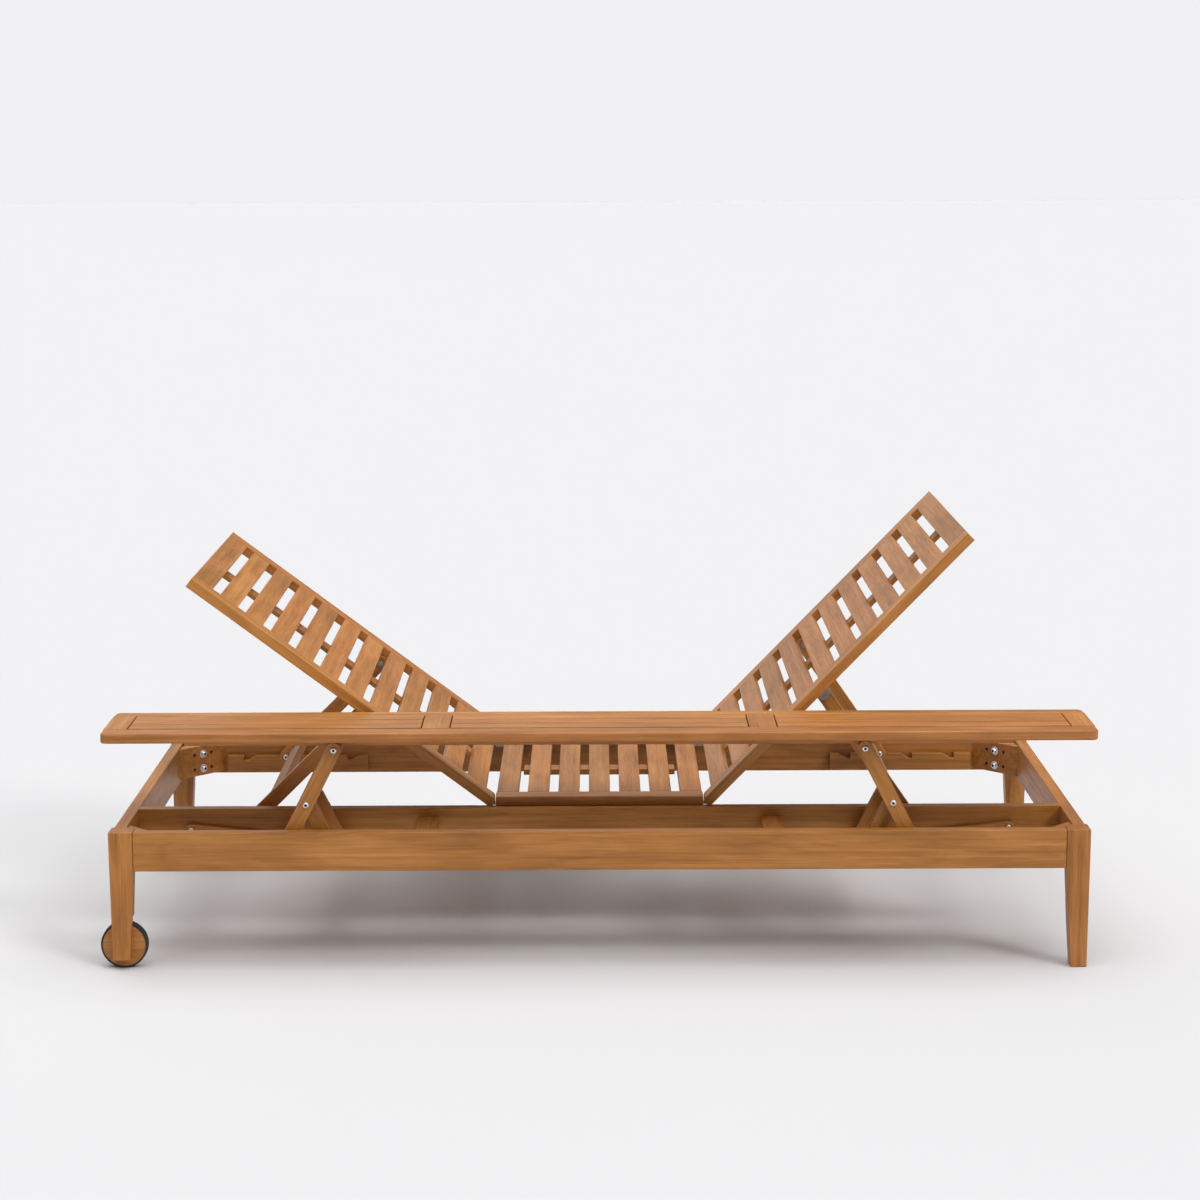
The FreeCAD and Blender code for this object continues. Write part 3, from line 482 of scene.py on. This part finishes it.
def jointed(name, node, body, radius, gap, material=None):
    """The boards of a CAD node, each sawn short by a gap at both ends, so that the joint shows as a dark
    line."""
    way = np.array(long_axis(node))
    ends = {}
    for points in solids_of(node):
        along = points @ way
        for point, place in zip(points, along):
            end = 1 if along.max() - place < END_BAND else (-1 if place - along.min() < END_BAND else 0)
            ends[tuple(np.round(point, SAME_PLACE))] = end
    sawn = NODES[node].data.copy()
    sawn.name = name
    for vertex in sawn.vertices:
        vertex.co -= Vector(way * gap * ends[tuple(np.round(np.array(vertex.co), SAME_PLACE))])
    piece = place_piece(name, sawn, body, [node])
    finish_boards(piece, node, radius, material)


def new_piece(name, build, body, materials, replaced=()):
    """A new piece on a body, standing for the CAD nodes named in replaced."""
    mesh = bpy.data.meshes.new(name)
    work = bmesh.new()
    build(work)
    bmesh.ops.recalc_face_normals(work, faces=work.faces)
    work.to_mesh(mesh)
    work.free()
    if not mesh.polygons:
        raise ValueError(name + " came out empty")
    for material in materials:
        mesh.materials.append(material)
    return place_piece(name, mesh, body, replaced)


def smooth_by_angle(piece, degrees=35):
    """Shade a piece smooth, apart from edges sharper than an angle."""
    piece.data.shade_smooth()
    piece.data.set_sharp_from_angle(angle=math.radians(degrees))


def join_rings(work, first, second, material=0):
    """Close the band between two rings of points that lie side by side."""
    for step, point in enumerate(first):
        after = (step + 1) % len(first)
        work.faces.new((point, first[after], second[after], second[step])).material_index = material


def turned(work, foot, axis, profile, sides=24):
    """A turned piece: rings at (distance along the axis, radius, is the ring a hexagon, material), closed at
    both ends."""
    axis = Vector(axis).normalized()
    side = axis.orthogonal().normalized()
    up = axis.cross(side)
    rings = []
    for distance, radius, hexagonal, _ in profile:
        ring = []
        for step in range(sides):
            angle = 2 * math.pi * step / sides
            reach = radius
            if hexagonal:
                reach *= math.cos(math.pi / 6) / math.cos(angle % (math.pi / 3) - math.pi / 6)
            out = side * math.cos(angle) + up * math.sin(angle)
            ring.append(work.verts.new(foot + axis * distance + out * reach))
        rings.append(ring)
    for first, second, row in zip(rings, rings[1:], profile[1:]):
        join_rings(work, first, second, row[3])
    work.faces.new(rings[0][::-1])
    work.faces.new(rings[-1]).material_index = profile[-1][3]


def turned_ring(name, foot, outline, body, material, replaced, degrees=35, sides=96):
    """A turned ring about the width axis. Its outline closes on itself, as (distance along the axis, radius)
    pairs."""
    def build(work):
        turns = [2 * math.pi * step / sides for step in range(sides)]
        rings = [[work.verts.new(foot + Vector((radius * math.cos(turn), distance, radius * math.sin(turn))))
                  for turn in turns] for distance, radius in outline]
        for first, second in zip(rings, rings[1:] + rings[:1]):
            join_rings(work, first, second)
    smooth_by_angle(new_piece(name, build, body, [material], [replaced]), degrees)


def bolt_profile(length, shank, head, height, washer=None):
    """Rings of a socket bolt from its tail to its domed head: a chamfered shank, an optional washer as
    (radius, thickness), the dome, and a hexagon socket whose floor takes the second material as painted
    shade."""
    seat = length - height
    tip, under, over = 0.8 * MM, 0.3 * MM, 0.4 * MM   # chamfers of the shank's tip and the washer's two rims
    rings = [(0, shank - tip, False, 0), (tip, shank, False, 0)]
    if washer:
        wide, thick = washer
        low = seat - thick
        rings += [(low, shank, False, 0), (low, wide - under, False, 0), (low + under, wide, False, 0),
                  (seat - over, wide, False, 0), (seat, wide - over, False, 0)]
    else:
        rings += [(seat, shank, False, 0)]
    rim = 0.25 * MM
    # the last ring, the socket's floor, takes material 1, a black that paints the shade in the socket
    rings += [(seat, head - rim, False, 0), (seat + 0.12 * height, head, False, 0),
              (seat + 0.45 * height, 0.97 * head, False, 0), (seat + 0.75 * height, 0.86 * head, False, 0),
              (seat + 0.95 * height, 0.70 * head, False, 0), (length, 0.58 * head, False, 0),
              (length - 0.02 * height, 0.50 * head, True, 0), (length - 0.62 * height, 0.47 * head, True, 1)]
    return rings


def socket_bolts(name, node, body, axes, shank=PIVOT_RADIUS, height=PIVOT_HEAD, washer=None, finish="zinc",
                 head=None, proud=0.0):
    """Socket bolts in place of a CAD node's plain ones, each where its solid is. A sunk screw gets its own
    head radius, and stands proud of its solid so that the head shows."""
    def build(work):
        for points in solids_of(node):
            axis = axes(middle(points))
            foot, length, (low, high) = round_fit(points, axis)
            if low > high:
                foot, axis = foot + axis * length, -axis
            profile = bolt_profile(length + proud, shank, head or max(low, high), height, washer)
            turned(work, foot, axis, profile)

    # the second material paints shade on the floors of the sockets
    smooth_by_angle(new_piece(name, build, body, [finish_of(finish), finish_of("black")], [node]))


def front_to_back(place):
    """Across the frame, wherever the bolt is."""
    return ACROSS


def out_of_corner(place):
    """From a corner of the frame towards its middle."""
    return Vector((-math.copysign(1, place.x), -math.copysign(1, place.y), 0)).normalized()


def pan_screws(name, body, places):
    """Small pan-head screws, each as (point on the surface, direction out of it)."""
    radius = bpy.context.scene.lounger_sizes.screw_radius
    sunk, rim, dome, top = 0.4 * MM, 1.0 * MM, 1.7 * MM, 2.1 * MM
    # the socket's floor takes material 1, a black that paints the shade in the socket
    socket_floor = 1.1 * MM
    profile = [(0, radius, False, 0), (rim, radius, False, 0), (dome, 0.85 * radius, False, 0),
               (top, 0.5 * radius, False, 0), (top, 0.4 * radius, True, 0),
               (socket_floor, 0.36 * radius, True, 1)]

    def build(work):
        for point, out in places:
            turned(work, point - out * sunk, out, profile, 18)

    smooth_by_angle(new_piece(name, build, body, [finish_of("zinc"), finish_of("black")]))


def stringer_screws(panel, body):
    """One screw through the stringer into each slat of a panel, from below, where the stringer reaches."""
    end_room = 8 * MM
    slats = [middle(points) for points in solids_of(panel + "_slats")]
    run = (slats[-1] - slats[0]).normalized()
    down = Vector((run.z, 0, -run.x)) if run.x > 0 else Vector((-run.z, 0, run.x))
    spine = solids_of(panel + "_stringer")[0]
    depth = float((spine @ np.array(down)).max())
    half = middle(spine)
    places = []
    for slat in slats:
        at = Vector((slat.x, half.y, slat.z))
        if abs((at - half).dot(run)) < (spine @ np.array(run)).max() - half.dot(run) - end_room:
            places.append((at + down * (depth - at.dot(down)), down))
    pan_screws(panel + "_stringer_screws", body, places)


# ------------------------------------------------------------------ operators
class LOUNGER_OT_rails(bpy.types.Operator):
    """Front, back, end and inner rails, with the ties, ledges and bearers between them"""
    bl_idname = "lounger.rails"
    bl_label = "Rails"

    def execute(self, context):
        radius = context.scene.lounger_sizes.rail_round
        for node in ("end_rails", "inner_rail", "channel_ties", "runner_ledges", "seat_bearers"):
            dress(node, radius)
        for node in ("front_rail", "back_rail"):
            jointed(node + "_board", node, "frame", radius, RAIL_JOINT)
        return {"FINISHED"}


class LOUNGER_OT_legs(bpy.types.Operator):
    """Four tapering legs, two of them slotted for a wheel"""
    bl_idname = "lounger.legs"
    bl_label = "Legs"

    def execute(self, context):
        for node in ("wheel_legs", "plain_legs"):
            dress(node, context.scene.lounger_sizes.rail_round, oiled_acacia(UPRIGHT))
        return {"FINISHED"}


class LOUNGER_OT_corners(bpy.types.Operator):
    """Corner plates with their bolts, washers and screws"""
    bl_idname = "lounger.corners"
    bl_label = "Corners"

    def execute(self, context):
        dress("corner_plates", PLATE_EDGE, oiled_acacia(ALONG))
        socket_bolts("corner_bolt_set", "corner_bolts", "frame", out_of_corner, height=6 * MM,
                     washer=(9.5 * MM, 2 * MM))
        socket_bolts("corner_screw_set", "corner_screws", "frame", out_of_corner, shank=3.9 * MM,
                     height=2.4 * MM, finish="black", head=5.2 * MM, proud=3.9 * MM)
        return {"FINISHED"}


class LOUNGER_OT_wheels(bpy.types.Operator):
    """Two wooden wheels with rubber tyres, and their axles"""
    bl_idname = "lounger.wheels"
    bl_label = "Wheels"

    def execute(self, context):
        bore = 6.1 * MM
        groove_depth, shoulder = 0.7 * MM, 0.9 * MM
        grooves = (7 * MM, 11 * MM, 15 * MM)
        for end in ("front", "back"):
            body = end + "_wheel"
            foot, width, (radius, _) = round_fit(solids_of("wheel_disc_" + end)[0], ACROSS)
            # each face of the disc: a chamfered bore, a flat, and a rim eased in two steps
            face = [(0.0, bore + 1 * MM), (0.0, 0.5 * radius), (0.0, radius - 2 * MM),
                    (0.6 * MM, radius - 0.6 * MM), (1.6 * MM, radius)]
            disc = [(1 * MM, bore), *face, *((width - depth, r) for depth, r in reversed(face)),
                    (width - 1 * MM, bore)]
            turned_ring("wheel_wood_" + end, foot, disc, body, oiled_acacia(ALONG),
                        "wheel_disc_" + end)
            # the tyre: rounded shoulders and a flat tread with three shallow grooves
            foot, width, (tread, _) = round_fit(solids_of("tyre_" + end)[0], ACROSS)
            tyre = [(0, radius), (0, tread - shoulder), (shoulder, tread - 0.2 * MM), (4 * MM, tread)]
            for groove in grooves:
                tyre += [(groove - 0.8 * MM, tread), (groove - 0.5 * MM, tread - groove_depth),
                         (groove + 0.5 * MM, tread - groove_depth), (groove + 0.8 * MM, tread)]
            tyre += [(width - 4 * MM, tread), (width - shoulder, tread - 0.2 * MM),
                     (width, tread - shoulder), (width, radius)]
            turned_ring("tyre_rubber_" + end, foot, tyre, body, finish_of("rubber"), "tyre_" + end,
                        degrees=50)
        socket_bolts("axle_set", "wheel_axles", "frame", front_to_back, shank=6 * MM, height=3 * MM)
        return {"FINISHED"}


class LOUNGER_OT_seat(bpy.types.Operator):
    """Fixed slatted seat in the middle of the frame"""
    bl_idname = "lounger.seat"
    bl_label = "Seat"

    def execute(self, context):
        sizes = context.scene.lounger_sizes
        dress("seat_stiles", sizes.panel_round)
        # the seat's slats take a darker wood: painted shade from the shelf and backrests
        jointed("seat_slat_boards", "seat_slats", "frame", sizes.slat_round, SLAT_JOINT,
                oiled_acacia(long_axis("seat_slats"), SEAT_PAINTED_SHADE))
        dress("seat_stringer", sizes.slat_round)
        stringer_screws("seat", "frame")
        return {"FINISHED"}


class LOUNGER_OT_backrests(bpy.types.Operator):
    """Both slatted backrests with their brackets"""
    bl_idname = "lounger.backrests"
    bl_label = "Backrests"

    def execute(self, context):
        sizes = context.scene.lounger_sizes
        for side in SIDES:
            panel = side + "_back"
            for part, radius in (("_stiles", sizes.panel_round), ("_stringer", sizes.slat_round)):
                dress(panel + part, radius)
            for part in ("_slats", "_top_board"):
                jointed(panel + part + "_sawn", panel + part, side + "_backrest",
                        sizes.slat_round, SLAT_JOINT)
            dress(panel + "_brackets", sizes.steel_round, finish_of("galvanised"))
            stringer_screws(panel, side + "_backrest")
        return {"FINISHED"}


class LOUNGER_OT_hinges(bpy.types.Operator):
    """Steel hinge leaves under the seat's ends and their pins"""
    bl_idname = "lounger.hinges"
    bl_label = "Hinges"

    def execute(self, context):
        dress("hinge_leaves", context.scene.lounger_sizes.steel_round, finish_of("galvanised"))
        socket_bolts("hinge_pin_set", "hinge_pins", "frame", front_to_back, height=3 * MM)
        return {"FINISHED"}


class LOUNGER_OT_props(bpy.types.Operator):
    """Ratchet props behind the backrests, and the racks they stand in"""
    bl_idname = "lounger.props"
    bl_label = "Props"

    def execute(self, context):
        radius = context.scene.lounger_sizes.bar_round
        for side in SIDES:
            dress(side + "_prop_bars", radius)
            dress(side + "_prop_tie", radius)
            socket_bolts(side + "_prop_pin_set", side + "_prop_pins", side + "_prop", front_to_back)
            dress(side + "_racks", BROKEN)
        return {"FINISHED"}


class LOUNGER_OT_shelf(bpy.types.Operator):
    """Long side shelf: stiles, boards, battens and pivot bolts"""
    bl_idname = "lounger.shelf"
    bl_label = "Shelf"

    def execute(self, context):
        sizes = context.scene.lounger_sizes
        corner = sizes.shelf_corner
        quarter = [math.pi / 2 * step / 8 for step in range(9)]
        low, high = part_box("shelf_stiles")

        def boards(work):
            """Both stiles, their outer corners rounded and their inner edges straight."""
            for points in solids_of("shelf_stiles"):
                front, back = points[:, 1].min(), points[:, 1].max()
                at_front = abs(front - low.y) < 1 * MM
                outer, inner, inward = (front, back, 1) if at_front else (back, front, -1)
                path = []
                for end, turn in ((low.x, -1), (high.x, 1)):
                    centre = end - turn * corner
                    arc = [Vector((centre + turn * corner * math.sin(angle), corner * (1 - math.cos(angle))))
                           for angle in quarter]
                    path += [(point.x, outer + inward * point.y) for point in arc[::turn]]
                path += [(high.x, inner), (low.x, inner)]
                below, above = ([work.verts.new((x, y, z)) for x, y in path] for z in (low.z, high.z))
                work.faces.new(below)
                work.faces.new(above)
                join_rings(work, below, above)

        soften(new_piece("shelf_stile_boards", boards, "shelf", [oiled_acacia(ALONG)],
                         ["shelf_stiles"]), sizes.shelf_round)
        dress("shelf_ends", EASED)
        dress("shelf_cross_boards", EASED, oiled_acacia(ACROSS))
        dress("shelf_slats", EASED)
        dress("shelf_battens", sizes.bar_round)
        socket_bolts("shelf_pivot_bolt_set", "shelf_pivot_bolts", "shelf", front_to_back)
        return {"FINISHED"}


class LOUNGER_OT_folding_legs(bpy.types.Operator):
    """Folding legs that lift the shelf, with their dowels, rods, bolts and stays"""
    bl_idname = "lounger.folding_legs"
    bl_label = "Folding Legs"

    def execute(self, context):
        radius = context.scene.lounger_sizes.bar_round
        for side in SIDES:
            for part in ("_long_leg_bars", "_short_leg_bars", "_stay"):
                dress(side + part, radius)
            dress(side + "_long_leg_dowel", BROKEN)
            socket_bolts(side + "_long_leg_bolt_set", side + "_long_leg_bolts", side + "_long_leg",
                         front_to_back)
        dress("lift_rods", EASED, finish_of("zinc"))
        socket_bolts("stay_bolt_set", "stay_bolts", "frame", front_to_back)
        return {"FINISHED"}


class LOUNGER_OT_stage(bpy.types.Operator):
    """Floor, studio light and camera"""
    bl_idname = "lounger.stage"
    bl_label = "Stage"

    def execute(self, context):
        scene = context.scene
        stage = scene.lounger_stage
        mesh = bpy.data.meshes.new("studio_floor")
        work = bmesh.new()
        bmesh.ops.create_grid(work, x_segments=8, y_segments=8, size=60)   # reaches 60 m each way
        work.to_mesh(mesh)
        work.free()
        mesh.materials.append(studio_floor())
        ground = bpy.data.objects.new("studio_floor", mesh)
        scene.collection.objects.link(ground)

        # Room light: pale haze at eye level, darker walls above it, a pale backdrop behind the lounger and a
        # wide white ceiling. The walls fade in between two heights on the unit sphere of directions, the
        # backdrop and the ceiling between two cosines of the angle to their middles.
        wall_fade = {"From Min": 0.07, "From Max": 0.22}
        ceiling_way, ceiling_fade = Vector((0.04, -0.14, 0.99)), {"From Min": 0.70, "From Max": 0.88}
        backdrop_way, backdrop_fade = Vector((-0.50, 0.82, 0.28)), {"From Min": 0.70, "From Max": 0.92}
        room = bpy.data.worlds.new("studio_room")
        room.use_nodes = True
        tree = room.node_tree
        tree.nodes.clear()
        way = add_node(tree, "ShaderNodeTexCoord")
        split = add_node(tree, "ShaderNodeSeparateXYZ", feeds={"Vector": way.outputs["Generated"]})
        walls = add_node(tree, "ShaderNodeMapRange", {"interpolation_type": "SMOOTHSTEP"},
                         {**wall_fade, "To Min": stage.haze_strength, "To Max": stage.wall_strength},
                         {"Value": split.outputs["Z"]})
        patches = []
        for centre, fade, strength in (
                (ceiling_way, ceiling_fade, stage.ceiling_strength - stage.wall_strength),
                (backdrop_way, backdrop_fade, stage.backdrop_strength)):
            facing = add_node(tree, "ShaderNodeVectorMath", {"operation": "DOT_PRODUCT"},
                              {1: centre.normalized()}, {0: way.outputs["Generated"]})
            patches.append(add_node(tree, "ShaderNodeMapRange", {"interpolation_type": "SMOOTHSTEP"},
                                    {**fade, "To Min": 0.0, "To Max": strength},
                                    {"Value": facing.outputs["Value"]}))
        ceiling, backdrop = patches
        around = add_node(tree, "ShaderNodeMath", {"operation": "MAXIMUM"},
                          feeds={0: walls.outputs["Result"], 1: backdrop.outputs["Result"]})
        total = add_node(tree, "ShaderNodeMath", {"operation": "ADD"},
                         feeds={0: around.outputs["Value"], 1: ceiling.outputs["Result"]})
        glow = add_node(tree, "ShaderNodeBackground", values={"Color": linear(scene.lounger_colours.haze)},
                        feeds={"Strength": total.outputs["Value"]})
        add_node(tree, "ShaderNodeOutputWorld", feeds={"Surface": glow.outputs["Background"]})
        scene.world = room

        key = bpy.data.objects.new("key_light", bpy.data.lights.new("key_light", "SUN"))
        key.data.energy = stage.key_strength
        key.data.angle = stage.key_angle
        key.rotation_euler = Vector(stage.key_way).to_track_quat("Z", "Y").to_euler()
        scene.collection.objects.link(key)

        # The camera looks along +Y, pitched down, turned and leaned by its three angles.
        pitch, yaw, roll = stage.camera_pitch, stage.camera_yaw, stage.camera_roll
        ahead = Vector((math.sin(yaw) * math.cos(pitch), math.cos(yaw) * math.cos(pitch), -math.sin(pitch)))
        level = Vector((math.cos(yaw), -math.sin(yaw), 0))
        rise_way = level.cross(ahead)
        right = level * math.cos(roll) + rise_way * math.sin(roll)
        up = rise_way * math.cos(roll) - level * math.sin(roll)
        view = Matrix((right, up, -ahead)).transposed().to_4x4()
        view.translation = Vector(stage.camera_place)
        camera = bpy.data.objects.new("camera", bpy.data.cameras.new("camera"))
        camera.data.sensor_width = 36
        camera.data.lens = stage.lens
        camera.data.clip_end = 200
        camera.matrix_world = view
        scene.collection.objects.link(camera)
        scene.camera = camera
        scene.view_settings.view_transform = "Standard"
        return {"FINISHED"}


PIECE_OPERATORS = (LOUNGER_OT_rails, LOUNGER_OT_legs, LOUNGER_OT_corners, LOUNGER_OT_wheels, LOUNGER_OT_seat,
                   LOUNGER_OT_backrests, LOUNGER_OT_hinges, LOUNGER_OT_props, LOUNGER_OT_shelf,
                   LOUNGER_OT_folding_legs, LOUNGER_OT_stage)


class LOUNGER_PT_parts(bpy.types.Panel):
    """Everything the lounger is made of"""
    bl_label = "Sun Lounger"
    bl_idname = "LOUNGER_PT_parts"
    bl_space_type = "VIEW_3D"
    bl_region_type = "UI"
    bl_category = "Lounger"

    def draw(self, context):
        for group in ("lounger_sizes", "lounger_colours", "lounger_stage"):
            block = self.layout.box()
            values = getattr(context.scene, group)
            for name in values.__annotations__:
                block.prop(values, name)
        for operator in PIECE_OPERATORS:
            self.layout.operator(operator.bl_idname)


CLASSES = (LoungerColours, LoungerSizes, LoungerStage, *PIECE_OPERATORS, LOUNGER_PT_parts)
GROUPS = (("lounger_colours", LoungerColours), ("lounger_sizes", LoungerSizes),
          ("lounger_stage", LoungerStage))


def register():
    """Add the lounger's classes and its settings on the scene."""
    for item in CLASSES:
        bpy.utils.register_class(item)
    for name, group in GROUPS:
        setattr(bpy.types.Scene, name, bpy.props.PointerProperty(type=group))


def unregister():
    """Take them away again."""
    for name, _ in GROUPS:
        delattr(bpy.types.Scene, name)
    for item in reversed(CLASSES):
        bpy.utils.unregister_class(item)


def main():
    """Build every piece and the stage."""
    register()
    for operator in PIECE_OPERATORS:
        getattr(bpy.ops.lounger, operator.bl_idname.split(".")[1])()


if __name__ == "__main__":
    main()
